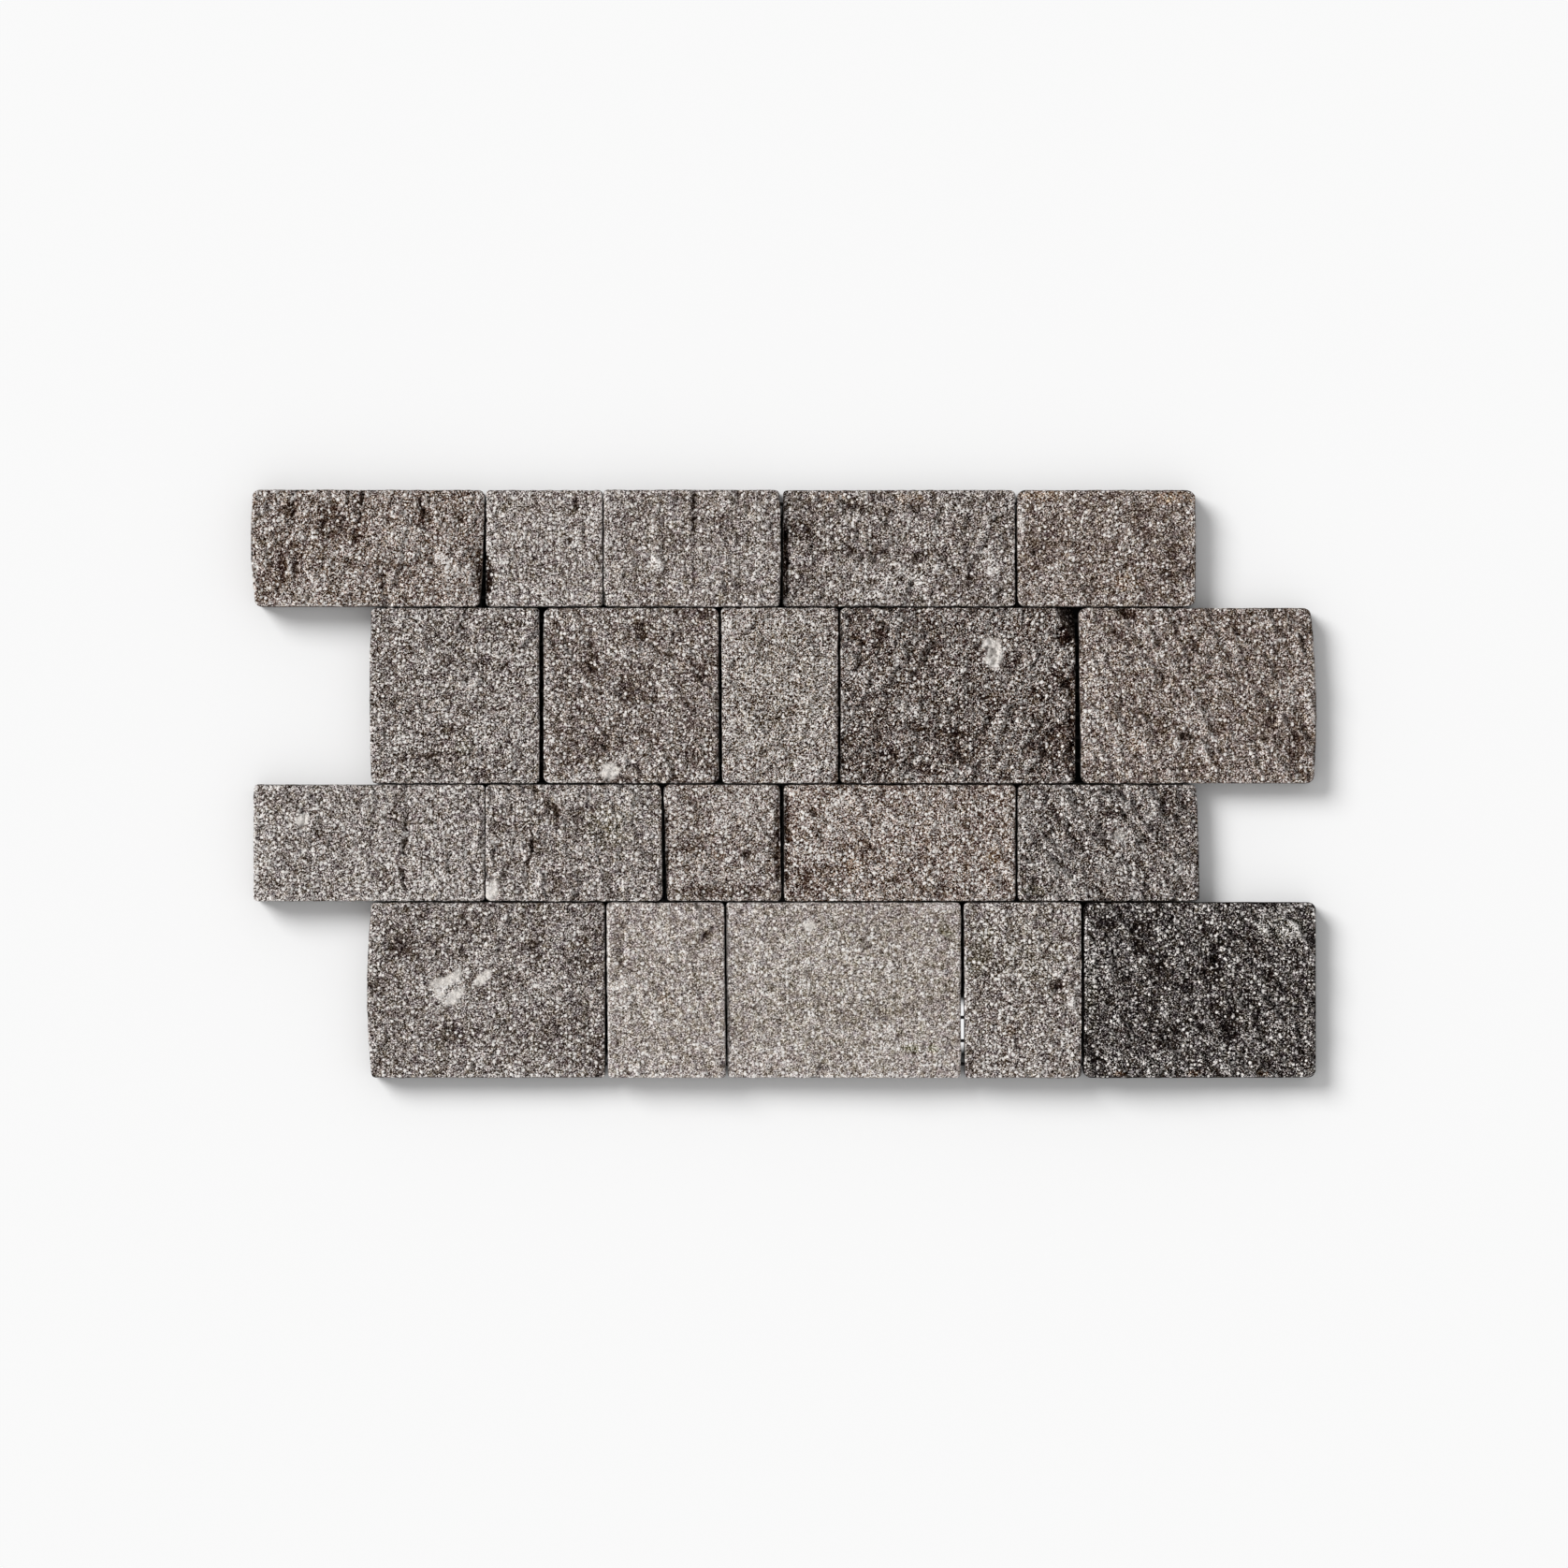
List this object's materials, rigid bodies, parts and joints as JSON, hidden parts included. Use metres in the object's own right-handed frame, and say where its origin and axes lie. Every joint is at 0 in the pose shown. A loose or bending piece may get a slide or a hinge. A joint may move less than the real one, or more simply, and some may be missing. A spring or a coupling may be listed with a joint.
{
  "type": "stone veneer panel",
  "caption": "Interlocking wall cladding panel of split grey lava stones with worn edges, laid in staggered courses and bonded by their sawn backs to a glass-fibre net.",
  "frame": {"origin": "under the middle of the panel, on the underside of its net", "axes": "+X along the courses, +Y from the bottom course to the top one, +Z out of the split faces; the panel lies on its back"},
  "size_m": [0.452, 0.2494, 0.0169],
  "materials": {
    "pale_stone": "split face of pale grey, coarse-grained lava stone, dry and dull",
    "mid_stone": "split face of warm mid-grey lava stone, dry and dull",
    "dark_stone": "split face of dark purple-grey lava stone, dry and dull",
    "glass_net": "white resin-coated glass-fibre yarn"
  },
  "bodies": {
    "root": {"top_course_stone_1": "dark_stone", "top_course_stone_2": "pale_stone", "top_course_stone_3": "mid_stone", "top_course_stone_4": "dark_stone", "top_course_stone_5": "mid_stone", "upper_course_stone_1": "dark_stone", "upper_course_stone_2": "mid_stone", "upper_course_stone_3": "pale_stone", "upper_course_stone_4": "dark_stone", "upper_course_stone_5": "mid_stone", "lower_course_stone_1": "pale_stone", "lower_course_stone_2": "mid_stone", "lower_course_stone_3": "mid_stone", "lower_course_stone_4": "mid_stone", "lower_course_stone_5": "dark_stone", "bottom_course_stone_1": "dark_stone", "bottom_course_stone_2": "pale_stone", "bottom_course_stone_3": "pale_stone", "bottom_course_stone_4": "pale_stone", "bottom_course_stone_5": "dark_stone", "net_warp_yarns": "glass_net", "net_weft_yarns": "glass_net"}
  },
  "joints": []
}
